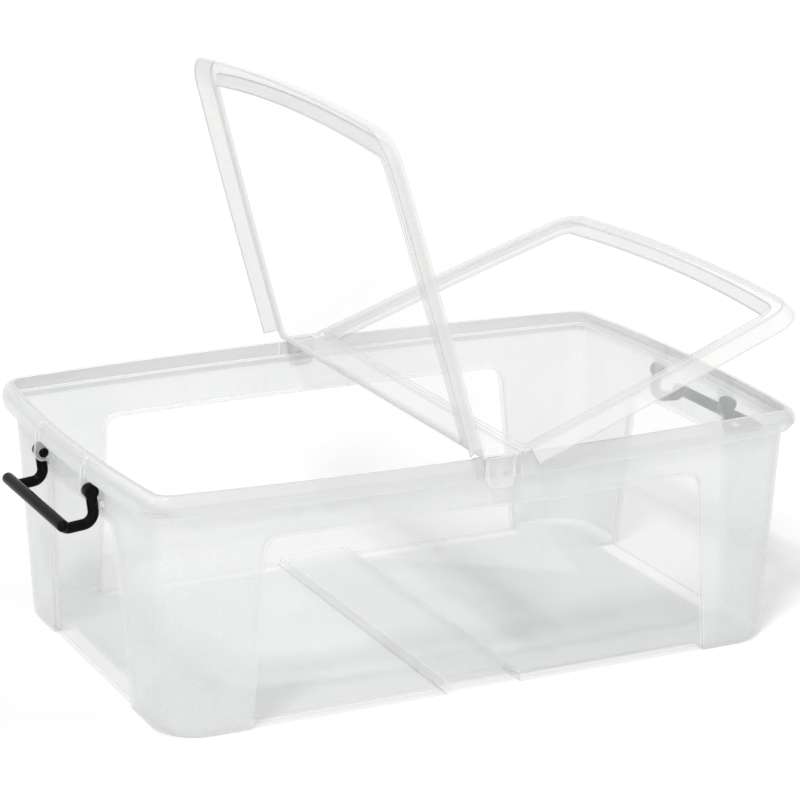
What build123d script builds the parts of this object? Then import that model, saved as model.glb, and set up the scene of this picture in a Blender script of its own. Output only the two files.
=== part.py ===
from build123d import *

import math
import os

# Folding-lid file box, in millimetres. It stands on z = 0 with its length along X,
# its width along Y, and its origin at the middle of its base.

# ---- tub: the open box ----
wall = 2.5                      # thickness of the side walls
floor_thickness = 3.0
base_half_length = 313.5
base_half_width = 200.5
base_corner_radius = 44.0
base_bow = 0.6                  # the base is almost straight along its sides
foot_roll = 4.0                 # rounding where the walls meet the base
end_draft = 3.0                 # how far the corners lean out, from base to ledge
side_draft = 3.0
ledge_end_bow = 9.0
ledge_side_bow = 13.0
ledge_corner_radius = 20.0
ledge_drop = 13.6               # from the rim's top edge to the step inside it
ledge_thickness = 2.4

# ---- tub: the rim band, from its top edge down to its foot ----
rim_height = 232.0
rim_drop = 21.0
rim_thickness = 2.3
rim_rounding = 0.6              # bevel along both top edges
rim_end_step = 2.5              # rim's top edge beyond the wall at the ledge
rim_side_step = 2.7
rim_end_extra_bow = 3.2         # more bow than the wall has
rim_side_extra_bow = 3.6
rim_corner_radius = 17.0
rim_end_flare = 10.0            # the band swells out at the ends, and hardly at the sides
rim_side_flare = 2.6
rim_foot_end_flatter = 2.9      # less bow at the foot of the band
rim_foot_side_flatter = 3.4
rim_foot_corner_radius = 38.0
rim_lap = 1.5                   # the inner face follows the outer one this much lower down
rim_profile = (                 # share of the drop, of the flare and of the corner's growth
    (0.0, 0.0, 0.0),
    (0.12, 0.4, 0.0),
    (0.35, 0.76, 0.1),
    (0.65, 0.95, 0.25),
    (1.0, 1.0, 1.0),
)

# ---- tub: recessed clear windows, wider at the base ----
window_recess = 5.0
side_window_base_margin = 80.5  # from the window's edge to the end of the base
side_window_top_margin = 94.5
side_window_drop = 51.5         # from the rim's top edge
end_window_base_margin = 92.5
end_window_top_margin = 111.5
end_window_drop = 60.0
window_corner_radius = 13.0

# ---- lid bar across the middle, with a latch block and tab at each end ----
seat_gap = 0.3                  # running gap between the lid pieces and the rim
lid_thickness = 2.4
tab_half_width = 12.7
tab_reach = 7.5                 # below the foot of the rim band
tab_corner_radius = 5.0
tab_thickness = 2.2
tab_setback = 2.0               # in from the lid's front edge
block_margin = 2.3              # block wider than the tab on each side
block_thickness = 2.0
block_rise = 0.5                # above the foot of the rim band
bar_margin = 4.45               # from the block's side to the hinge line
hinge_half_gap = 0.7            # from a hinge line to the thick edge on each side of it
web_radius = 0.4                # thin moulded web along each hinge line
latch_gap = 0.3

# ---- tub: pocket in the rim for each latch, with the nub that the latch snaps over ----
pocket_margin = 8.4             # beside the latch block
pocket_depth = 2.4
nub_half_width = 4.0
nub_rise = 1.0                  # above the foot of the rim band
nub_height = 10.0
nub_tip = 3.0                   # the nub's flat lower part, under its ramp

# ---- tub: channel across the base that clears the lid bar of a box below ----
channel_margin = 15.05          # beyond the hinge line
channel_height = 9.5
channel_slope = 3.5

# ---- lid panels ----
lid_end_overhang = 7.0          # flange beyond the rim at the corners
lid_side_overhang = 8.8
lid_end_flatter = 1.4           # less bow than the rim has
lid_side_flatter = 3.2
lid_corner_extra = 13.0         # larger corner radius than the rim has
flange_width = 12.0
bevel_width = 9.0
panel_drop = 7.4
skirt_drop = 15.5
skirt_flare = 8.0
skirt_start = 9.5               # the skirt stops short of the hinge
hinge_strip_width = 6.0
hinge_bevel_width = 4.5
hinge_corner_radius = 6.0
left_open_angle = 74.5          # how far each panel stands open
right_open_angle = 19.5

# ---- carrying handles and their ears ----
pivot_reach = 8.0               # pivot beyond the wall's ledge at mid-end
eye_clearance = 4.8             # from an eye up to the foot of the rim band
ear_inner = 60.0                # inner face of each ear, from the middle of the end
ear_thickness = 4.3
ear_radius = 8.5
ear_top_drop = 3.0
ear_clearance = 1.0             # to the closed lid's skirt
arm_radius = 5.2
grip_radius = 5.7
grip_overhang = 6.8             # round end of the grip beyond each arm
arm_gap = 0.4                   # between an arm's eye and its ear
knee_in = 3.0                   # the arms drop from the pivot to a knee, then run out
knee_drop = 29.0
elbow_out = 24.0                # an elbow turns each arm up into the grip
elbow_drop = 31.5
grip_out = 29.5
grip_drop = 26.3
knee_bend_radius = 11.0
elbow_bend_radius = 6.0
eye_radius = 6.9
eye_half_thickness = 5.5
eye_rounding = 3.0
pin_radius = 3.0
pin_fit = 0.05
pin_head_radius = 4.6
pin_head_depth = 3.0
pin_head_rounding = 2.4
pin_head_gap = 0.3
stop_half_width = 3.5           # pad on the end wall that each hanging arm leans on
stop_low = 15.0                 # below the pivot
stop_high = 9.5
stop_gap = 0.3

# ---- sizes that follow ----
ledge_height = rim_height - ledge_drop
ledge_half_length = base_half_length + end_draft
ledge_half_width = base_half_width + side_draft
rim_foot_height = rim_height - rim_drop
rim_half_length = ledge_half_length + rim_end_step
rim_half_width = ledge_half_width + rim_side_step
rim_end_bow = ledge_end_bow + rim_end_extra_bow
rim_side_bow = ledge_side_bow + rim_side_extra_bow
lid_half_length = rim_half_length + lid_end_overhang
lid_half_width = rim_half_width + lid_side_overhang
lid_end_bow = rim_end_bow - lid_end_flatter
lid_side_bow = rim_side_bow - lid_side_flatter
lid_foot = rim_height + seat_gap
lid_top = lid_foot + lid_thickness
lid_edge = lid_half_width + lid_side_bow
panel_level = lid_top - panel_drop
skirt_foot = lid_top - skirt_drop
block_half_width = tab_half_width + block_margin
hinge_x = block_half_width + bar_margin
hinge_z = lid_foot + lid_thickness / 2
panel_start = hinge_x + hinge_half_gap + lid_thickness / 2
pocket_half_width = block_half_width + pocket_margin
pocket_face = rim_half_width + rim_side_bow - pocket_depth
tab_face = lid_edge - tab_setback - tab_thickness
channel_half_width = hinge_x + channel_margin
pivot_x = ledge_half_length + ledge_end_bow + pivot_reach
pivot_height = rim_foot_height - eye_clearance - eye_radius
ear_outer = ear_inner + ear_thickness
ear_top = rim_height - ear_top_drop
arm_y = ear_outer + arm_gap + eye_half_thickness


def between(start, end, share):
    return start + (end - start) * share


def bowed_outline(half_length, half_width, end_bow, side_bow, corner_radius):
    # Rounded rectangle whose four sides bow outward.
    right = half_length + end_bow
    back = half_width + side_bow
    with BuildSketch(mode=Mode.PRIVATE) as outline:
        with BuildLine():
            ThreePointArc((-half_length, -half_width), (0, -back), (half_length, -half_width))
            ThreePointArc((half_length, -half_width), (right, 0), (half_length, half_width))
            ThreePointArc((half_length, half_width), (0, back), (-half_length, half_width))
            ThreePointArc((-half_length, half_width), (-right, 0), (-half_length, -half_width))
        make_face()
        fillet(outline.vertices(), corner_radius)
    return outline.sketch


def wall_outline(height, inset):
    # Outline of the side walls at a height, moved inward by an inset.
    share = height / ledge_height
    return bowed_outline(
        between(base_half_length, ledge_half_length, share) - inset,
        between(base_half_width, ledge_half_width, share) - inset,
        between(base_bow, ledge_end_bow, share),
        between(base_bow, ledge_side_bow, share),
        between(base_corner_radius, ledge_corner_radius, share) - inset,
    )


def rim_outline(height, inset):
    # Outline of the rim band at a height, moved inward by an inset.
    drop = (rim_height - height) / rim_drop
    for upper, lower in zip(rim_profile, rim_profile[1:]):
        if drop <= lower[0]:
            break
    share = (drop - upper[0]) / (lower[0] - upper[0])
    flare = between(upper[1], lower[1], share)
    growth = between(upper[2], lower[2], share)
    return bowed_outline(
        rim_half_length + rim_end_flare * flare - inset,
        rim_half_width + rim_side_flare * flare - inset,
        rim_end_bow - rim_foot_end_flatter * flare,
        rim_side_bow - rim_foot_side_flatter * flare,
        between(rim_corner_radius, rim_foot_corner_radius, growth) - inset,
    )


def lid_outline(inset):
    # Outline of the closed lid, moved inward by an inset.
    return bowed_outline(
        lid_half_length - inset,
        lid_half_width - inset,
        lid_end_bow,
        lid_side_bow,
        rim_corner_radius + lid_corner_extra - inset,
    )


def stack(levels):
    # Block through a list of outlines, each at its height.
    with BuildPart(mode=Mode.PRIVATE) as block:
        for height, outline in levels:
            with BuildSketch(Plane.XY.offset(height)):
                add(outline)
        loft(ruled=True)
    return block.part


def slab(x_low, x_high, y_low, y_high, z_low, z_high):
    # Plain block between six planes.
    with BuildPart(mode=Mode.PRIVATE) as block:
        with BuildSketch(Plane.XY.offset(z_low)):
            with Locations(((x_low + x_high) / 2, (y_low + y_high) / 2)):
                Rectangle(x_high - x_low, y_high - y_low)
        extrude(amount=z_high - z_low)
    return block.part


def window_profile(half_top, half_base, top, grow):
    # Upright window outline that runs out below the base, grown all round.
    slope = (half_base - half_top) / top
    low = -foot_roll
    half_low = half_base - slope * low + grow
    with BuildSketch(mode=Mode.PRIVATE) as profile:
        with BuildLine():
            Polyline(
                (-half_low, low),
                (half_low, low),
                (half_top + grow, top + grow),
                (-half_top - grow, top + grow),
                close=True,
            )
        make_face()
        fillet(profile.vertices().group_by(Axis.Y)[-1], window_corner_radius + grow)
    return profile.sketch


def window_slabs(grow, inset):
    # What lies further out than an inset of the walls, seen through the four windows.
    reach = 2 * base_half_length
    side_window = window_profile(
        base_half_length - side_window_top_margin,
        base_half_length - side_window_base_margin,
        rim_height - side_window_drop,
        grow,
    )
    end_window = window_profile(
        base_half_width - end_window_top_margin,
        base_half_width - end_window_base_margin,
        rim_height - end_window_drop,
        grow,
    )
    low = -2 * foot_roll
    core = stack([(low, wall_outline(low, inset)), (ledge_height, wall_outline(ledge_height, inset))])
    with BuildPart(mode=Mode.PRIVATE) as slabs:
        with BuildSketch(Plane.XZ):
            add(side_window)
        extrude(amount=reach, both=True)
        with BuildSketch(Plane.YZ):
            add(end_window)
        extrude(amount=reach, both=True)
        add(core, mode=Mode.SUBTRACT)
    return slabs.part


def channel_block(grow):
    # Bar-shaped channel across the base, grown all round.
    half = channel_half_width + grow
    with BuildPart(mode=Mode.PRIVATE) as block:
        with BuildSketch(Plane.XZ):
            with BuildLine():
                Polyline(
                    (-half - channel_slope, 0),
                    (half + channel_slope, 0),
                    (half, channel_height + grow),
                    (-half, channel_height + grow),
                    close=True,
                )
            make_face()
        extrude(amount=2 * base_half_width, both=True)
    return block.part


def skirt_inside(y):
    # Inner face of the closed lid's end skirt at its top, at a distance along the end.
    return lid_half_length + lid_end_bow * (1 - (y / lid_half_width) ** 2) - lid_thickness


def ear_profile():
    # Hinge ear of a carrying handle, in the plane across the end of the box.
    root = ledge_half_length
    outer_top = skirt_inside(ear_outer) - ear_clearance
    skirt_slope = skirt_flare / skirt_drop
    with BuildSketch(Plane.XZ, mode=Mode.PRIVATE) as profile:
        with BuildLine():
            Polyline(
                (root, pivot_height - ear_radius),
                (root, ledge_height - ledge_thickness),
                (rim_half_length + rim_end_bow - rim_thickness, ear_top),
                (outer_top + skirt_slope * (lid_top - ear_top), ear_top),
                (outer_top + skirt_slope * skirt_drop, skirt_foot),
                (pivot_x + ear_radius, pivot_height),
                (pivot_x, pivot_height - ear_radius),
                close=True,
            )
        make_face()
        with Locations((pivot_x, pivot_height)):
            Circle(ear_radius)
            Circle(pin_radius + pin_fit, mode=Mode.SUBTRACT)
    return profile.sketch


# ---- tub ----
rim_shoulder = rim_height - rim_rounding
rim_bends = [rim_height - level[0] * rim_drop for level in reversed(rim_profile)]
rim_face = [(height, rim_outline(height, 0)) for height in rim_bends[:-1]]
rim_back = [(height - rim_lap, rim_outline(height, rim_thickness)) for height in rim_bends[1:]]
rim_space = stack(
    [(rim_foot_height, rim_outline(rim_foot_height + rim_lap, rim_thickness))]
    + rim_back
    + [
        (rim_shoulder, rim_outline(rim_height, rim_thickness)),
        (rim_height, rim_outline(rim_height, rim_thickness - rim_rounding)),
    ]
)
with BuildPart() as rim_band:
    add(stack(
        rim_face
        + [
            (rim_shoulder, rim_outline(rim_shoulder, 0)),
            (rim_height, rim_outline(rim_height, rim_rounding)),
        ]
    ))
    add(rim_space, mode=Mode.SUBTRACT)

with BuildPart() as ledge:
    ledge_foot = ledge_height - ledge_thickness
    with BuildSketch(Plane.XY.offset(ledge_foot)):
        add(rim_outline(ledge_height, rim_thickness / 2))
    extrude(amount=ledge_thickness)

with BuildPart() as ears:
    for side in (-1, 1):
        with BuildSketch(Plane.XZ.offset(side * (ear_inner + ear_thickness / 2))):
            add(ear_profile())
        extrude(amount=ear_thickness / 2, both=True)
        # Pad on the end wall behind each arm.
        arm_face = pivot_x - knee_in * stop_high / knee_drop - arm_radius
        stop_face = arm_face - knee_in * (stop_low - stop_high) / knee_drop - stop_gap
        add(slab(
            ledge_half_length,
            stop_face,
            side * arm_y - stop_half_width,
            side * arm_y + stop_half_width,
            pivot_height - stop_low,
            pivot_height - stop_high,
        ))
    mirror(about=Plane.YZ)
    rim_space_above = rim_space.intersect(
        slab(-2 * pivot_x, 2 * pivot_x, -2 * pivot_x, 2 * pivot_x, ledge_height, rim_height)
    )
    add(rim_space_above, mode=Mode.SUBTRACT)

with BuildPart() as latch_seats:
    # Recessed wall of the pocket, its two sides and the nub.
    inner_face = pocket_face - rim_thickness
    add(slab(-pocket_half_width, pocket_half_width, inner_face, pocket_face, rim_foot_height, rim_height))
    for side in (-1, 1):
        near = side * pocket_half_width
        far = side * (pocket_half_width + rim_thickness)
        reach = pocket_face + pocket_depth - rim_thickness / 2
        add(slab(min(near, far), max(near, far), inner_face, reach, rim_foot_height, rim_height))
    with BuildSketch(Plane.YZ):
        with BuildLine():
            nub_foot = rim_foot_height + nub_rise
            Polyline(
                (pocket_face - rim_thickness / 2, nub_foot),
                (tab_face - latch_gap, nub_foot),
                (tab_face - latch_gap, nub_foot + nub_tip),
                (pocket_face, nub_foot + nub_height),
                (pocket_face - rim_thickness / 2, nub_foot + nub_height),
                close=True,
            )
        make_face()
    extrude(amount=nub_half_width, both=True)
    mirror(about=Plane.XZ)

with BuildPart() as hollow:
    add(stack([
        (floor_thickness, wall_outline(floor_thickness, wall + foot_roll)),
        (floor_thickness + foot_roll, wall_outline(floor_thickness + foot_roll, wall)),
        (ledge_height, wall_outline(ledge_height, wall)),
    ]))
    add(window_slabs(wall, window_recess + wall), mode=Mode.SUBTRACT)
    add(channel_block(floor_thickness), mode=Mode.SUBTRACT)

with BuildPart() as tub:
    add(stack([
        (0, wall_outline(0, foot_roll)),
        (foot_roll, wall_outline(foot_roll, 0)),
        (ledge_height, wall_outline(ledge_height, 0)),
    ]))
    add(ledge.part)
    add(ears.part)
    add(rim_band.part)
    for side in (-1, 1):
        face = side * pocket_face
        beyond = side * 2 * pocket_face
        pocket = slab(
            -pocket_half_width,
            pocket_half_width,
            min(face, beyond),
            max(face, beyond),
            rim_foot_height - rim_thickness,
            rim_height + rim_thickness,
        )
        add(pocket, mode=Mode.SUBTRACT)
    add(latch_seats.part)
    add(window_slabs(0, window_recess), mode=Mode.SUBTRACT)
    add(channel_block(0), mode=Mode.SUBTRACT)
    add(hollow.part, mode=Mode.SUBTRACT)

# ---- lid bar ----
with BuildPart() as lid_bar:
    nose = hinge_x - hinge_half_gap - lid_thickness / 2
    with BuildSketch(Plane.XZ):
        with Locations((0, hinge_z)):
            Rectangle(2 * nose, lid_thickness)
            Rectangle(2 * hinge_x, 2 * web_radius)
            with Locations((-nose, 0), (nose, 0)):
                Circle(lid_thickness / 2)
            with Locations((-hinge_x, 0), (hinge_x, 0)):
                Circle(web_radius)
    extrude(amount=lid_edge, both=True)
    # Block and latch tab hanging from the bar's front end.
    tab_foot = rim_foot_height - tab_reach
    block_foot = rim_foot_height + block_rise
    with BuildSketch(Plane.XZ.offset(tab_face)) as tongue:
        with Locations((0, (lid_foot + tab_foot) / 2)):
            Rectangle(2 * tab_half_width, lid_foot - tab_foot)
        fillet(tongue.vertices().group_by(Axis.Y)[0], tab_corner_radius)
    extrude(amount=tab_thickness)
    for side in (-1, 1):
        near = side * (block_half_width - block_thickness)
        far = side * block_half_width
        add(slab(
            min(near, far),
            max(near, far),
            -tab_face - tab_thickness,
            -pocket_face - latch_gap,
            block_foot,
            lid_foot,
        ))
    mirror(about=Plane.XZ)


# ---- lid panels ----
def sunk_outline(inset, hinge_inset):
    # Outline of the sunk part of the right-hand panel, squared off beside the hinge.
    with BuildSketch(mode=Mode.PRIVATE) as outline:
        add(lid_outline(inset))
        split(bisect_by=Plane.YZ.offset(panel_start + hinge_inset), keep=Keep.TOP)
        fillet(outline.vertices().group_by(Axis.X)[0], hinge_corner_radius)
    return outline.sketch


def bend_offset(run):
    # How far outward the underside of a bend lies, so that a sloped band keeps its thickness.
    return lid_thickness * (math.hypot(run, panel_drop) - run) / panel_drop


with BuildPart() as closed_panel:
    # Flange and flared skirt.
    add(stack([(skirt_foot, lid_outline(-skirt_flare)), (lid_top, lid_outline(0))]))
    foot_inset = lid_thickness - skirt_flare
    foot_share = (lid_foot - skirt_foot) / skirt_drop
    add(
        stack([
            (skirt_foot, lid_outline(foot_inset)),
            (lid_foot, lid_outline(foot_inset + skirt_flare * foot_share)),
        ]),
        mode=Mode.SUBTRACT,
    )
    split(bisect_by=Plane.YZ.offset(panel_start), keep=Keep.TOP)
    skirt_reach = lid_edge + 2 * skirt_flare
    skirt_end = hinge_x + skirt_start
    add(slab(0, skirt_end, -skirt_reach, skirt_reach, skirt_foot, lid_foot), mode=Mode.SUBTRACT)
    add(slab(0, skirt_end, lid_edge, skirt_reach, skirt_foot, lid_top), mode=Mode.SUBTRACT)
    add(slab(0, skirt_end, -skirt_reach, -lid_edge, skirt_foot, lid_top), mode=Mode.SUBTRACT)
    # Rounded edge along the hinge.
    with BuildSketch(Plane.XZ):
        with Locations((panel_start, hinge_z)):
            Circle(lid_thickness / 2)
    extrude(amount=lid_edge, both=True)
    # Sloped band and sunk panel.
    side_turn = bend_offset(bevel_width)
    hinge_turn = bend_offset(hinge_bevel_width)
    side_foot = flange_width + bevel_width
    hinge_foot = hinge_strip_width + hinge_bevel_width
    add(stack([
        (panel_level - lid_thickness, sunk_outline(side_foot - side_turn, hinge_foot - hinge_turn)),
        (lid_foot, sunk_outline(flange_width - side_turn, hinge_strip_width - hinge_turn)),
    ]))
    add(
        stack([
            (panel_level, sunk_outline(side_foot, hinge_foot)),
            (lid_top, sunk_outline(flange_width, hinge_strip_width)),
        ]),
        mode=Mode.SUBTRACT,
    )

hinge_line = Axis((hinge_x, 0, hinge_z), (0, 1, 0))
with BuildPart() as right_lid:
    add(closed_panel.part.rotate(hinge_line, -right_open_angle))
with BuildPart() as left_lid:
    add(closed_panel.part.rotate(hinge_line, -left_open_angle).mirror(Plane.YZ))

# ---- carrying handles ----
with BuildPart() as eye:
    # Eye at the top of an arm, with its stub pin and the pin's domed head inside the ear.
    head_outer = ear_inner - pin_head_gap
    head_end = head_outer - pin_head_depth
    eye_inner = ear_outer + arm_gap
    eye_outer = arm_y + eye_half_thickness
    eye_plane = Plane(origin=(pivot_x, 0, pivot_height), x_dir=(0, 1, 0), z_dir=(1, 0, 0))
    with BuildSketch(eye_plane) as eye_profile:
        with BuildLine():
            Polyline(
                (head_end, 0),
                (head_end, pin_head_radius),
                (head_outer, pin_head_radius),
                (head_outer, pin_radius),
                (eye_inner, pin_radius),
                (eye_inner, eye_radius),
                (eye_outer, eye_radius),
                (eye_outer, 0),
                close=True,
            )
        make_face()
        fillet(eye_profile.vertices().sort_by_distance((eye_outer, eye_radius))[0], eye_rounding)
        fillet(eye_profile.vertices().sort_by_distance((head_end, pin_head_radius))[0], pin_head_rounding)
    revolve(axis=Axis((pivot_x, 0, pivot_height), (0, 1, 0)))

with BuildPart() as right_handle:
    grip_x = pivot_x + grip_out
    grip_z = pivot_height - grip_drop
    with BuildLine() as arm:
        FilletPolyline(
            (pivot_x, arm_y, pivot_height),
            (pivot_x - knee_in, arm_y, pivot_height - knee_drop),
            (pivot_x + elbow_out, arm_y, pivot_height - elbow_drop),
            (grip_x, arm_y, grip_z),
            radius=[knee_bend_radius, elbow_bend_radius],
        )
    with BuildSketch(Plane(origin=arm.line @ 0, z_dir=arm.line % 0)):
        Circle(arm_radius)
    sweep()
    mirror(about=Plane.XZ)
    # Straight grip with round ends, across both arms.
    grip_plane = Plane(origin=(grip_x, 0, grip_z), x_dir=(0, 1, 0), z_dir=(1, 0, 0))
    with BuildSketch(grip_plane):
        SlotCenterToCenter(2 * (arm_y + grip_overhang), 2 * grip_radius)
        with Locations((0, -grip_radius)):
            Rectangle(4 * arm_y, 2 * grip_radius, mode=Mode.SUBTRACT)
    revolve(axis=Axis((grip_x, 0, grip_z), (0, 1, 0)))
    add(eye.part)
    add(eye.part.mirror(Plane.XZ))

with BuildPart() as left_handle:
    add(right_handle.part.mirror(Plane.YZ))

# ---- write the pieces ----
pieces = {
    "tub": tub,
    "lid_centre_bar": lid_bar,
    "lid_left_panel": left_lid,
    "lid_right_panel": right_lid,
    "handle_left": left_handle,
    "handle_right": right_handle,
}
os.makedirs("parts", exist_ok=True)
for name, piece in pieces.items():
    piece.part.label = name
    export_step(piece.part, f"parts/{name}.step")
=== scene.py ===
import bpy
import math
from mathutils import Matrix, Vector
from mathutils.bvhtree import BVHTree


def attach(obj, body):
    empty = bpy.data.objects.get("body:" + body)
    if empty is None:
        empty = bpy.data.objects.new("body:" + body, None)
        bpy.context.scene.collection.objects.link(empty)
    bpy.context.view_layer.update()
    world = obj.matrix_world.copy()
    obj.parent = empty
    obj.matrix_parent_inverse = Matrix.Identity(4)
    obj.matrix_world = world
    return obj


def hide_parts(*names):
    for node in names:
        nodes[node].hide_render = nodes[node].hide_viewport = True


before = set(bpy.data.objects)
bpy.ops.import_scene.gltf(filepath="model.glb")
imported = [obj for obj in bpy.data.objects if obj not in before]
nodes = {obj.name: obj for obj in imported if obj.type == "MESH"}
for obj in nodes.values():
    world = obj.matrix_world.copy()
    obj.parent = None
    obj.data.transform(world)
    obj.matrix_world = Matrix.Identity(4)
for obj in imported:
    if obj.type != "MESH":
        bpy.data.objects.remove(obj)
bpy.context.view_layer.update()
print("frame loaded:", ", ".join(sorted(nodes)))


# small helpers for node trees

def addNode(tree, kind, inputs=None, **settings):
    # an input is another node's socket, which is linked, or a plain value
    node = tree.nodes.new(kind)
    for key, value in settings.items():
        setattr(node, key, value)
    for key, value in (inputs or {}).items():
        if isinstance(value, bpy.types.NodeSocket):
            tree.links.new(value, node.inputs[key])
        else:
            node.inputs[key].default_value = value
    return node


def calc(tree, operation, first, second=0.0):
    return addNode(tree, "ShaderNodeMath", {0: first, 1: second}, operation=operation).outputs[0]


def remap(tree, value, low, high, outLow=0.0, outHigh=1.0):
    inputs = {"Value": value, "From Min": low, "From Max": high, "To Min": outLow, "To Max": outHigh}
    return addNode(tree, "ShaderNodeMapRange", inputs).outputs["Result"]


def blendValue(tree, share, first, second):
    inputs = {0: share, 2: first, 3: second}
    return addNode(tree, "ShaderNodeMix", inputs, data_type="FLOAT").outputs[0]


def blendColor(tree, share, first, second):
    inputs = {0: share, 6: first, 7: second}
    return addNode(tree, "ShaderNodeMix", inputs, data_type="RGBA").outputs[2]


def faceMark(tree, name):
    return addNode(tree, "ShaderNodeAttribute", attribute_name=name).outputs["Fac"]


def newMaterial(name):
    mat = bpy.data.materials.new(name)
    mat.use_nodes = True
    mat.node_tree.nodes.clear()
    return mat, mat.node_tree


def newGroup(name, inputs, outputs):
    group = bpy.data.node_groups.new(name, "ShaderNodeTree")
    for socketName, kind, value in inputs:
        socket = group.interface.new_socket(socketName, in_out="INPUT", socket_type=kind)
        if value is not None:
            socket.default_value = value
    for socketName, kind in outputs:
        group.interface.new_socket(socketName, in_out="OUTPUT", socket_type=kind)
    return group, addNode(group, "NodeGroupInput"), addNode(group, "NodeGroupOutput")


def useGroup(tree, group, inputs):
    return addNode(tree, "ShaderNodeGroup", inputs, node_tree=group).outputs


# shared surface effects

softStep = 0.0006       # half the width over which one finish turns into another

skinNoise = {"grainDetail": 2.0, "grainRoughness": 0.6, "cloudDetail": 3.0, "cloudRoughness": 0.45,
             "grainRange": (0.25, 0.75), "cloudRange": (0.3, 0.7)}

markNoise = {"turn": (0.0, 0.6, 0.35), "stretch": (1.0, 14.0, 22.0), "detail": 3.0, "distortion": 0.6,
             "lineRange": (0.60, 0.70), "patchDetail": 1.0, "patchRange": (0.48, 0.66)}


def mouldSkinGroup():
    # fine spark-eroded grain, slow cloudiness of the milky plastic, and the height they leave
    group, start, end = newGroup(
        "mouldSkin",
        [("Vector", "NodeSocketVector", None), ("Grain Size", "NodeSocketFloat", 0.0012),
         ("Cloud Size", "NodeSocketFloat", 0.06), ("Grain Share", "NodeSocketFloat", 0.6)],
        [("Grain", "NodeSocketFloat"), ("Cloud", "NodeSocketFloat"), ("Height", "NodeSocketFloat")])
    given = start.outputs
    grainScale = calc(group, "DIVIDE", 1.0, given["Grain Size"])
    cloudScale = calc(group, "DIVIDE", 1.0, given["Cloud Size"])
    grain = addNode(group, "ShaderNodeTexNoise", {
        "Vector": given["Vector"], "Scale": grainScale, "Detail": skinNoise["grainDetail"],
        "Roughness": skinNoise["grainRoughness"]}).outputs[0]
    cloud = addNode(group, "ShaderNodeTexNoise", {
        "Vector": given["Vector"], "Scale": cloudScale, "Detail": skinNoise["cloudDetail"],
        "Roughness": skinNoise["cloudRoughness"]}).outputs[0]
    height = blendValue(group, given["Grain Share"], cloud, grain)
    group.links.new(grain, end.inputs["Grain"])
    group.links.new(cloud, end.inputs["Cloud"])
    group.links.new(height, end.inputs["Height"])
    return group


def handlingMarksGroup():
    # hairline scuffs that lie mostly one way, gathered in patches
    group, start, end = newGroup(
        "handlingMarks",
        [("Vector", "NodeSocketVector", None), ("Length", "NodeSocketFloat", 0.05),
         ("Patch Size", "NodeSocketFloat", 0.09), ("Amount", "NodeSocketFloat", 0.5)],
        [("Marks", "NodeSocketFloat")])
    given = start.outputs
    scale = calc(group, "DIVIDE", 1.0, given["Length"])
    stretched = addNode(group, "ShaderNodeMapping", {
        "Vector": given["Vector"], "Rotation": markNoise["turn"], "Scale": markNoise["stretch"]})
    streaks = addNode(group, "ShaderNodeTexNoise", {
        "Vector": stretched.outputs[0], "Scale": scale, "Detail": markNoise["detail"],
        "Distortion": markNoise["distortion"]}).outputs[0]
    lines = remap(group, streaks, *markNoise["lineRange"])
    patchScale = calc(group, "DIVIDE", 1.0, given["Patch Size"])
    patches = addNode(group, "ShaderNodeTexNoise", {
        "Vector": given["Vector"], "Scale": patchScale, "Detail": markNoise["patchDetail"]}).outputs[0]
    where = remap(group, patches, *markNoise["patchRange"])
    marks = calc(group, "MULTIPLY", calc(group, "MULTIPLY", lines, where), given["Amount"])
    group.links.new(marks, end.inputs["Marks"])
    return group


def recessAreaGroup():
    # 1 inside a leaning rectangle with rounded upper corners, 0 outside it
    group, start, end = newGroup(
        "recessArea",
        [("Across", "NodeSocketFloat", 0.0), ("Height", "NodeSocketFloat", 0.0),
         ("Half Foot", "NodeSocketFloat", 0.2), ("Lean", "NodeSocketFloat", 0.08),
         ("Top", "NodeSocketFloat", 0.18), ("Corner", "NodeSocketFloat", 0.013)],
        [("Inside", "NodeSocketFloat")])
    given = start.outputs
    lean = calc(group, "MULTIPLY", given["Height"], given["Lean"])
    side = calc(group, "SUBTRACT", calc(group, "ADD", given["Across"], lean), given["Half Foot"])
    top = calc(group, "SUBTRACT", given["Height"], given["Top"])
    sideIn = calc(group, "MAXIMUM", calc(group, "ADD", side, given["Corner"]), 0.0)
    topIn = calc(group, "MAXIMUM", calc(group, "ADD", top, given["Corner"]), 0.0)
    sideSquare = calc(group, "MULTIPLY", sideIn, sideIn)
    topSquare = calc(group, "MULTIPLY", topIn, topIn)
    distance = calc(group, "SQRT", calc(group, "ADD", sideSquare, topSquare))
    reach = calc(group, "SUBTRACT", distance, given["Corner"])
    inside = remap(group, reach, softStep, -softStep)
    group.links.new(inside, end.inputs["Inside"])
    return group


mouldSkin = mouldSkinGroup()
handlingMarks = handlingMarksGroup()
recessArea = recessAreaGroup()

mostAlpha = 0.96        # no skin of the clear plastics is fully opaque
grazing = {"blend": 0.5, "power": 4.0}      # how fast edge-on milkiness falls off


def skinOf(tree, coords, look):
    return useGroup(tree, mouldSkin, {
        "Vector": coords, "Grain Size": look["grainSize"], "Cloud Size": look["cloudSize"],
        "Grain Share": look["grainShare"]})


def marksOf(tree, coords, look):
    return useGroup(tree, handlingMarks, {
        "Vector": coords, "Length": look["markLength"], "Patch Size": look["markPatch"],
        "Amount": look["markAmount"]})["Marks"]


def byCloud(tree, skin, outRange):
    return remap(tree, skin["Cloud"], *skinNoise["cloudRange"], *outRange)


def addShare(tree, value, mask, amount):
    return calc(tree, "ADD", value, calc(tree, "MULTIPLY", mask, amount))


def seenEdgeOn(tree):
    facing = addNode(tree, "ShaderNodeLayerWeight", {"Blend": grazing["blend"]}).outputs["Facing"]
    return calc(tree, "POWER", facing, grazing["power"])


# the tub's plastic

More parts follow.
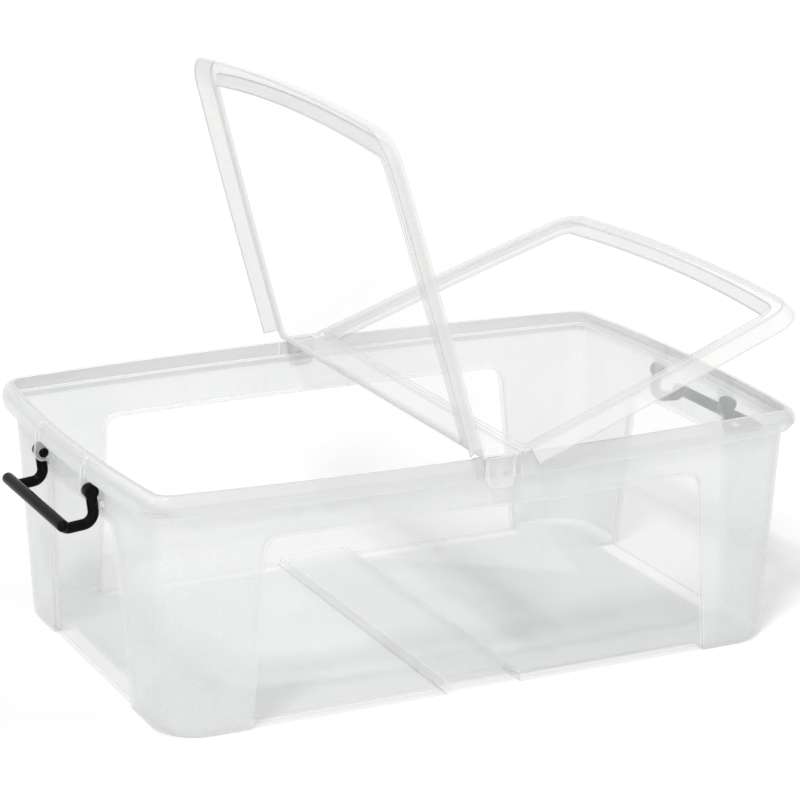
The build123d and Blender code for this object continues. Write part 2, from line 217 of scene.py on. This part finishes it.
tubLook = {
    "frost": (0.86, 0.87, 0.872, 1),
    "clear": (0.84, 0.852, 0.855, 1),
    "rim": (0.85, 0.866, 0.86, 1),
    "inner": (0.66, 0.662, 0.652, 1),   # painted shade on the rim band seen from inside the box
    "edge": (0.66, 0.665, 0.66, 1),     # edges that gather shade
    "paleEdge": (0.95, 0.96, 0.955, 1), # edges that catch the light
    "frostAlpha": 0.34,     # milky walls, each of a wall's two skins
    "clearAlpha": 0.05,     # the polished windows
    "rimAlpha": 0.46,
    "innerAlpha": 0.50,
    "grazingAlpha": 0.50,   # added where the skin is seen edge on
    "edgeAlpha": 0.54,      # added on rounded edges and steps
    "paleAlpha": 0.46,      # the same, on the pale ones
    "markAlpha": 0.10,
    "cloudAlpha": (0.86, 1.12),     # how far clouds and grain change the milkiness
    "grainAlpha": (0.93, 1.07),
    "frostRoughness": 0.46,
    "clearRoughness": 0.08,
    "rimRoughness": 0.09,
    "markRoughness": 0.25,
    "cloudRoughness": (-0.025, 0.025),
    "grainSize": 0.0016, "cloudSize": 0.07, "grainShare": 0.75,
    "markLength": 0.06, "markPatch": 0.11, "markAmount": 0.3,
    "bumpDepth": 0.0006, "frostBump": 0.35, "polishBump": 0.05,
    "ior": 1.49,
    # the windows: where each wall starts, half the foot, lean of the sides, top and corner radius
    "sideFrom": 0.180, "sideHalfFoot": 0.2335, "sideLean": 0.0776, "sideTop": 0.181,
    "endFrom": 0.290, "endHalfFoot": 0.1085, "endLean": 0.1105, "endTop": 0.1725,
    "corner": 0.013,
    "rimFoot": 0.211,
}


def windowArea(tree, across, high, wall):
    return useGroup(tree, recessArea, {
        "Across": across, "Height": high, "Half Foot": tubLook[wall + "HalfFoot"],
        "Lean": tubLook[wall + "Lean"], "Top": tubLook[wall + "Top"],
        "Corner": tubLook["corner"]})["Inside"]


def tubPlastic():
    mat, tree = newMaterial("milkyPolypropylene")
    out = addNode(tree, "ShaderNodeOutputMaterial")
    coords = addNode(tree, "ShaderNodeTexCoord").outputs["Object"]
    spot = addNode(tree, "ShaderNodeSeparateXYZ", {"Vector": coords})
    alongX = calc(tree, "ABSOLUTE", spot.outputs["X"])
    alongY = calc(tree, "ABSOLUTE", spot.outputs["Y"])
    high = spot.outputs["Z"]
    sideArea = windowArea(tree, alongX, high, "side")
    endArea = windowArea(tree, alongY, high, "end")
    onSide = calc(tree, "GREATER_THAN", alongY, tubLook["sideFrom"])
    onEnd = calc(tree, "GREATER_THAN", alongX, tubLook["endFrom"])
    sideWindow = calc(tree, "MULTIPLY", sideArea, onSide)
    endWindow = calc(tree, "MULTIPLY", endArea, onEnd)
    window = calc(tree, "MAXIMUM", sideWindow, endWindow)
    rim = remap(tree, high, tubLook["rimFoot"] - softStep, tubLook["rimFoot"] + softStep)
    skin = skinOf(tree, coords, tubLook)
    marks = marksOf(tree, coords, tubLook)
    edge = faceMark(tree, "edge")
    pale = faceMark(tree, "pale")
    inner = faceMark(tree, "inner")

    # how much each skin hides what is behind it
    frostWave = byCloud(tree, skin, tubLook["cloudAlpha"])
    frostSpeck = remap(tree, skin["Grain"], *skinNoise["grainRange"], *tubLook["grainAlpha"])
    frostSpread = calc(tree, "MULTIPLY", frostWave, frostSpeck)
    frosted = calc(tree, "MULTIPLY", frostSpread, tubLook["frostAlpha"])
    body = blendValue(tree, window, frosted, tubLook["clearAlpha"])
    body = blendValue(tree, rim, body, tubLook["rimAlpha"])
    body = blendValue(tree, inner, body, tubLook["innerAlpha"])
    body = addShare(tree, body, seenEdgeOn(tree), tubLook["grazingAlpha"])
    edgeBody = blendValue(tree, pale, tubLook["edgeAlpha"], tubLook["paleAlpha"])
    body = addShare(tree, body, edge, edgeBody)
    body = addShare(tree, body, marks, tubLook["markAlpha"])
    alpha = calc(tree, "MINIMUM", body, mostAlpha)

    color = blendColor(tree, window, tubLook["frost"], tubLook["clear"])
    color = blendColor(tree, rim, color, tubLook["rim"])
    # the rim band's inner face is painted a darker grey as shade, on a denser skin
    color = blendColor(tree, inner, color, tubLook["inner"])
    edgeColor = blendColor(tree, pale, tubLook["edge"], tubLook["paleEdge"])
    color = blendColor(tree, edge, color, edgeColor)

    polished = calc(tree, "MAXIMUM", window, rim)
    smooth = blendValue(tree, rim, tubLook["clearRoughness"], tubLook["rimRoughness"])
    rough = blendValue(tree, polished, tubLook["frostRoughness"], smooth)
    rough = addShare(tree, rough, marks, tubLook["markRoughness"])
    rough = calc(tree, "ADD", rough, byCloud(tree, skin, tubLook["cloudRoughness"]))
    strength = blendValue(tree, polished, tubLook["frostBump"], tubLook["polishBump"])
    bump = addNode(tree, "ShaderNodeBump", {
        "Height": skin["Height"], "Distance": tubLook["bumpDepth"], "Strength": strength})
    shader = addNode(tree, "ShaderNodeBsdfPrincipled", {
        "Base Color": color, "Roughness": rough, "Alpha": alpha, "IOR": tubLook["ior"],
        "Normal": bump.outputs[0]})
    tree.links.new(shader.outputs[0], out.inputs["Surface"])
    return mat


# the lid's plastic

lidLook = {
    "panel": (0.95, 0.953, 0.948, 1),
    "border": (0.90, 0.90, 0.888, 1),
    # painted shade on the sloped band round the sunk panel
    "fold": (0.80, 0.805, 0.792, 1),
    # painted shade along the rounded edges
    "edge": (0.56, 0.565, 0.558, 1),
    "paleEdge": (0.97, 0.975, 0.97, 1), # the bar's edges, which catch the light
    "panelAlpha": 0.07,
    "borderAlpha": 0.30,    # added on the flange and the skirt
    "foldAlpha": 0.26,      # added on the sloped band round the sunk panel
    "edgeAlpha": 0.55,      # added on rounded edges
    "panelGrazing": 0.08,   # added where the skin is seen edge on
    "borderGrazing": 0.52,
    "markAlpha": 0.04,
    "cloudAlpha": (0.95, 1.05),
    "roughness": 0.10,
    "markRoughness": 0.3,
    "cloudRoughness": (-0.03, 0.03),
    "grainSize": 0.004, "cloudSize": 0.05, "grainShare": 0.2,
    "markLength": 0.08, "markPatch": 0.13, "markAmount": 0.4,
    "bumpDepth": 0.0006, "bump": 0.04,
    "ior": 1.49,
}


def lidPlastic():
    mat, tree = newMaterial("clearPolypropylene")
    out = addNode(tree, "ShaderNodeOutputMaterial")
    coords = addNode(tree, "ShaderNodeTexCoord").outputs["Object"]
    skin = skinOf(tree, coords, lidLook)
    marks = marksOf(tree, coords, lidLook)
    border = faceMark(tree, "border")
    fold = faceMark(tree, "fold")
    edge = faceMark(tree, "edge")
    pale = faceMark(tree, "pale")

    thick = calc(tree, "MAXIMUM", calc(tree, "MAXIMUM", border, fold), edge)
    sheen = blendValue(tree, thick, lidLook["panelGrazing"], lidLook["borderGrazing"])
    edgeOn = calc(tree, "MULTIPLY", seenEdgeOn(tree), sheen)
    bordered = calc(tree, "MULTIPLY", border, lidLook["borderAlpha"])
    body = calc(tree, "ADD", bordered, lidLook["panelAlpha"])
    body = addShare(tree, body, fold, lidLook["foldAlpha"])
    body = addShare(tree, body, edge, lidLook["edgeAlpha"])
    clouded = calc(tree, "MULTIPLY", body, byCloud(tree, skin, lidLook["cloudAlpha"]))
    body = addShare(tree, calc(tree, "ADD", clouded, edgeOn), marks, lidLook["markAlpha"])
    alpha = calc(tree, "MINIMUM", body, mostAlpha)

    color = blendColor(tree, border, lidLook["panel"], lidLook["border"])
    # the sloped band gets its painted shade
    color = blendColor(tree, fold, color, lidLook["fold"])
    # rounded edges get painted shade, the bar's edges a painted highlight
    edgeColor = blendColor(tree, pale, lidLook["edge"], lidLook["paleEdge"])
    color = blendColor(tree, edge, color, edgeColor)

    rough = addShare(tree, lidLook["roughness"], marks, lidLook["markRoughness"])
    rough = calc(tree, "ADD", rough, byCloud(tree, skin, lidLook["cloudRoughness"]))
    bump = addNode(tree, "ShaderNodeBump", {
        "Height": skin["Height"], "Distance": lidLook["bumpDepth"], "Strength": lidLook["bump"]})
    shader = addNode(tree, "ShaderNodeBsdfPrincipled", {
        "Base Color": color, "Roughness": rough, "Alpha": alpha, "IOR": lidLook["ior"],
        "Normal": bump.outputs[0]})
    tree.links.new(shader.outputs[0], out.inputs["Surface"])
    return mat


# the handles' plastic

handleLook = {
    "black": (0.006, 0.006, 0.0065, 1),
    "worn": (0.012, 0.012, 0.013, 1),
    "roughness": 0.15,
    "specular": 0.04,
    "markRoughness": 0.3,
    "cloudRoughness": (-0.05, 0.07),
    "grainSize": 0.0012, "cloudSize": 0.014, "grainShare": 0.6,
    "markLength": 0.02, "markPatch": 0.03, "markAmount": 0.4,
    "bumpDepth": 0.0004, "bump": 0.03,
    "ior": 1.5,
}


def handlePlastic():
    mat, tree = newMaterial("blackNylon")
    out = addNode(tree, "ShaderNodeOutputMaterial")
    coords = addNode(tree, "ShaderNodeTexCoord").outputs["Object"]
    skin = skinOf(tree, coords, handleLook)
    marks = marksOf(tree, coords, handleLook)
    color = blendColor(tree, marks, handleLook["black"], handleLook["worn"])
    rough = byCloud(tree, skin, handleLook["cloudRoughness"])
    rough = calc(tree, "ADD", handleLook["roughness"], rough)
    rough = addShare(tree, rough, marks, handleLook["markRoughness"])
    bump = addNode(tree, "ShaderNodeBump", {
        "Height": skin["Height"], "Distance": handleLook["bumpDepth"], "Strength": handleLook["bump"]})
    shader = addNode(tree, "ShaderNodeBsdfPrincipled", {
        "Base Color": color, "Roughness": rough, "Normal": bump.outputs[0],
        "IOR": handleLook["ior"], "Specular IOR Level": handleLook["specular"]})
    tree.links.new(shader.outputs[0], out.inputs["Surface"])
    return mat


finishes = {
    "tub_plastic": tubPlastic(),
    "lid_plastic": lidPlastic(),
    "handle_plastic": handlePlastic(),
}
print("materials ready")


# pieces

meshWork = {
    "merge": 0.000005,      # points of the loose triangles closer than this are one
    "level": 0.4,           # degrees under which two faces are one flat face
    "strayMerge": 0.000002, # the same, after a stray point has gone back
    "smoothAngle": 32,      # degrees, past which an edge between faces stays sharp
    "segments": 2,          # of each rounded edge
}


def onlySelect(obj):
    bpy.ops.object.select_all(action="DESELECT")
    obj.select_set(True)
    bpy.context.view_layer.objects.active = obj


def mergePoints(distance):
    # leaves the mesh in edit mode, with everything selected
    bpy.ops.object.mode_set(mode="EDIT")
    bpy.ops.mesh.select_all(action="SELECT")
    bpy.ops.mesh.remove_doubles(threshold=distance)


def paintFaces(piece, attributeName, choose):
    layer = piece.data.attributes.new(attributeName, "FLOAT", "FACE")
    for face in piece.data.polygons:
        layer.data[face.index].value = choose(face)


def gatherStrays(mesh, skin, reach):
    # a rounded corner's point that ran out past its edges goes back to its closest neighbour
    strays = {}
    for point in mesh.vertices:
        nearest, normal, index, distance = skin.find_nearest(point.co)
        if distance > reach:
            strays[point.index] = nearest
    neighbours = {index: [] for index in strays}
    for edge in mesh.edges:
        first, second = edge.vertices
        for here, there in ((first, second), (second, first)):
            if here in strays and there not in strays:
                neighbours[here].append(mesh.vertices[there].co.copy())
    for index, places in neighbours.items():
        if places:
            closest = min(places, key=lambda place: (place - strays[index]).length)
            mesh.vertices[index].co = closest
    mergePoints(meshWork["strayMerge"])
    bpy.ops.object.mode_set(mode="OBJECT")


def roundEdges(piece, rounding, bend):
    # the rounded edges come out in a second slot, and are marked by it
    mesh = piece.data
    places = [point.co.copy() for point in mesh.vertices]
    lowest = min(place.z for place in places)
    skin = BVHTree.FromPolygons(places, [face.vertices[:] for face in mesh.polygons])
    mesh.materials.append(mesh.materials[0])
    bevel = piece.modifiers.new("rounding", "BEVEL")
    bevel.limit_method = "ANGLE"
    bevel.angle_limit = math.radians(bend)
    bevel.width = rounding
    bevel.segments = meshWork["segments"]
    bevel.use_clamp_overlap = False
    bevel.material = 1
    bpy.ops.object.modifier_apply(modifier="rounding")
    gatherStrays(mesh, skin, rounding)
    for point in mesh.vertices:
        point.co.z = max(point.co.z, lowest)
    paintFaces(piece, "edge", lambda face: float(face.material_index == 1))
    for face in mesh.polygons:
        face.material_index = 0
    mesh.materials.pop(index=1)


def softCopy(nodeName, pieceName, body, slot, shape=None):
    # a merged copy of a moulded part; with a shape, its edges past the bend angle are rounded over
    source = nodes[nodeName]
    piece = source.copy()
    piece.data = source.data.copy()
    piece.name = pieceName
    bpy.context.scene.collection.objects.link(piece)
    onlySelect(piece)
    bpy.ops.mesh.customdata_custom_splitnormals_clear()
    mergePoints(meshWork["merge"])
    bpy.ops.mesh.dissolve_limited(angle_limit=math.radians(meshWork["level"]))
    bpy.ops.object.mode_set(mode="OBJECT")
    piece.data.materials.clear()
    piece.data.materials.append(finishes[slot])
    if shape:
        roundEdges(piece, shape["rounding"], shape["bend"])
    bpy.ops.object.shade_smooth_by_angle(angle=math.radians(meshWork["smoothAngle"]))
    if shape:       # the broad faces keep their own normals, and the rounded edges do the turning
        weighted = piece.modifiers.new("broadFaces", "WEIGHTED_NORMAL")
        weighted.keep_sharp = True
        bpy.ops.object.modifier_apply(modifier="broadFaces")
    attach(piece, body)
    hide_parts(nodeName)
    print(pieceName, "faces:", len(piece.data.polygons))
    return piece


isLevel = 0.985     # a face is level when its normal's height is above this

tubShape = {
    "rounding": 0.00045, "bend": 50,
    "ledge": 0.216, "rimTop": 0.2313, "foot": 0.006,        # heights
    "upright": 0.5,         # a face is upright when its normal's height is under this
    "nubHalfWidth": 0.0055, "nubTop": 0.2235, "pocketFoot": 0.2115, "pocketBack": 0.2206,
}


def facesInward(face):
    return face.normal.x * face.center.x + face.normal.y * face.center.y < 0


def rimInside(face):
    # the band's inner face, which gets painted shade
    upright = abs(face.normal.z) < tubShape["upright"]
    return float(face.center.z > tubShape["ledge"] and facesInward(face) and upright)


def paleEdge(face):
    # every edge but the foot's and the outer one along the rim's top
    atTop = face.center.z > tubShape["rimTop"]
    return float(face.center.z > tubShape["foot"] and (facesInward(face) or not atTop))


def onNub(spot):
    # the latch nubs stand out from the backs of their pockets
    inWidth = abs(spot.x) < tubShape["nubHalfWidth"]
    inHeight = tubShape["pocketFoot"] < spot.z < tubShape["nubTop"]
    return inWidth and inHeight and abs(spot.y) > tubShape["pocketBack"]


tub = softCopy("tub", "tubShell", "tub", "tub_plastic", tubShape)
paintFaces(tub, "inner", rimInside)
paintFaces(tub, "pale", paleEdge)
edgeMarks = tub.data.attributes["edge"].data
for face in tub.data.polygons:      # the moulded bevel along the rim's top and the nubs are edges too
    rimBevel = face.center.z > tubShape["rimTop"] and face.normal.z < isLevel
    if rimBevel or onNub(face.center):
        edgeMarks[face.index].value = 1.0

lidShape = {
    "rounding": 0.0004, "bend": 32,
    "step": 0.004,          # the sunk panel lies further than this below the flange
    "flangeMilk": 0.6, "skirtMilk": 1.0,
    "middle": 0.17,         # how far the middle of a shut panel is from the box's middle
    "top": 0.2347,          # the shut flange's height
    "hingeX": 0.01945, "hingeZ": 0.2335,
    "leftTurn": -74.5, "rightTurn": 19.5,
}


def closedView(side):
    # turns a panel's point or normal back to where it lies when the lid is shut
    angle = lidShape["leftTurn"] if side < 0 else lidShape["rightTurn"]
    return Matrix.Rotation(math.radians(angle), 3, "Y")


def lidPanel(nodeName, pieceName, body, side):
    piece = softCopy(nodeName, pieceName, body, "lid_plastic", lidShape)
    back = closedView(side)
    hinge = Vector((side * lidShape["hingeX"], 0, lidShape["hingeZ"]))

    def area(face):
        # the skirt's faces tip the other way from the sloped band's
        normal = back @ face.normal
        place = back @ (face.center - hinge) + hinge
        if abs(normal.z) > isLevel:
            return "flange" if place.z > lidShape["top"] - lidShape["step"] else "panel"
        outward = normal.x * (place.x - side * lidShape["middle"]) + normal.y * place.y
        return "fold" if outward * normal.z < 0 else "skirt"

    borders = {"flange": lidShape["flangeMilk"], "skirt": lidShape["skirtMilk"]}
    areas = [area(face) for face in piece.data.polygons]
    paintFaces(piece, "border", lambda face: borders.get(areas[face.index], 0.0))
    paintFaces(piece, "fold", lambda face: float(areas[face.index] == "fold"))
    return piece


lidPanel("lid_left_panel", "leftPanel", "left_lid", -1)
lidPanel("lid_right_panel", "rightPanel", "right_lid", 1)

barShape = {"rounding": 0.0005, "bend": 40, "levelMilk": 0.5, "sideMilk": 0.8}


def barMilk(face):
    return barShape["sideMilk"] if abs(face.normal.z) < isLevel else barShape["levelMilk"]


bar = softCopy("lid_centre_bar", "centreBar", "lid_bar", "lid_plastic", barShape)
paintFaces(bar, "border", barMilk)
paintFaces(bar, "pale", lambda face: 1.0)

softCopy("handle_left", "leftHandle", "left_handle", "handle_plastic")
softCopy("handle_right", "rightHandle", "right_handle", "handle_plastic")
print("pieces ready")


# camera, light and floor

viewpoint = {
    "place": (-1.1726, -2.4818, 1.0236),
    "yaw": 0.4436,
    "pitch": 0.2830,
    "roll": 0.0022,
    "lens": 133.9,
    "sensor": 36,
    "farthest": 60,
}


def makeCamera():
    yaw, pitch, roll = viewpoint["yaw"], viewpoint["pitch"], viewpoint["roll"]
    ahead = math.cos(pitch)
    forward = Vector((math.sin(yaw) * ahead, math.cos(yaw) * ahead, -math.sin(pitch)))
    right = Vector((math.cos(yaw), -math.sin(yaw), 0))
    up = right.cross(forward)
    rolledRight = right * math.cos(roll) + up * math.sin(roll)
    rolledUp = up * math.cos(roll) - right * math.sin(roll)
    data = bpy.data.cameras.new("camera")
    data.lens = viewpoint["lens"]
    data.sensor_width = viewpoint["sensor"]
    data.clip_end = viewpoint["farthest"]
    camera = bpy.data.objects.new("camera", data)
    bpy.context.scene.collection.objects.link(camera)
    turn = Matrix((rolledRight, rolledUp, -forward)).transposed()
    camera.matrix_world = Matrix.Translation(viewpoint["place"]) @ turn.to_4x4()
    bpy.context.scene.camera = camera


studio = {
    "world": 0.62,          # how strongly the surroundings light the box
    "seenWorld": 1.0,       # how bright they look, which is white
    "floor": (0.92, 0.92, 0.92, 1),
    "lift": 0.08,           # brings the lit floor up to white
    "floorSize": 40,
    "skinsDeep": 40,        # clear skins that a ray may pass
}


def seenRay(tree):
    path = addNode(tree, "ShaderNodeLightPath").outputs
    first = calc(tree, "MAXIMUM", path["Is Camera Ray"], path["Is Transmission Ray"])
    return calc(tree, "MAXIMUM", first, path["Is Glossy Ray"])


def makeWorld():
    world = bpy.data.worlds.new("studio")
    bpy.context.scene.world = world
    world.use_nodes = True
    tree = world.node_tree
    tree.nodes.clear()
    strength = remap(tree, seenRay(tree), 0, 1, studio["world"], studio["seenWorld"])
    background = addNode(tree, "ShaderNodeBackground", {"Color": (1, 1, 1, 1), "Strength": strength})
    out = addNode(tree, "ShaderNodeOutputWorld")
    tree.links.new(background.outputs[0], out.inputs["Surface"])


def makeFloor():
    bpy.ops.object.select_all(action="DESELECT")
    bpy.ops.mesh.primitive_plane_add(size=studio["floorSize"], location=(0, 0, 0))
    floor = bpy.context.object
    floor.name = "floor"
    mat, tree = newMaterial("floorPaint")
    out = addNode(tree, "ShaderNodeOutputMaterial")
    diffuse = addNode(tree, "ShaderNodeBsdfDiffuse", {"Color": studio["floor"]})
    lift = calc(tree, "MULTIPLY", seenRay(tree), studio["lift"])
    glow = addNode(tree, "ShaderNodeEmission", {"Strength": lift})
    both = addNode(tree, "ShaderNodeAddShader", {0: diffuse.outputs[0], 1: glow.outputs[0]})
    tree.links.new(both.outputs[0], out.inputs["Surface"])
    floor.data.materials.append(mat)


lamps = {
    "keyLamp": {"aimFrom": (-1.5, -1.7, 2.6), "strength": 0.90, "softness": 9},
    "fillLamp": {"aimFrom": (2.4, -1.2, 2.0), "strength": 0.35, "softness": 40},
    "glintLamp": {"aimFrom": (-1.1, -1.0, 2.4), "strength": 0.48, "softness": 3},
}


def makeLamps():
    for name, lamp in lamps.items():
        data = bpy.data.lights.new(name, "SUN")
        data.energy = lamp["strength"]
        data.angle = math.radians(lamp["softness"])
        light = bpy.data.objects.new(name, data)
        bpy.context.scene.collection.objects.link(light)
        light.rotation_euler = (-Vector(lamp["aimFrom"])).to_track_quat("-Z", "Y").to_euler()


makeCamera()
makeWorld()
makeFloor()
makeLamps()
scene = bpy.context.scene
scene.view_settings.view_transform = "Standard"
scene.cycles.transparent_max_bounces = studio["skinsDeep"]
print("stage ready")
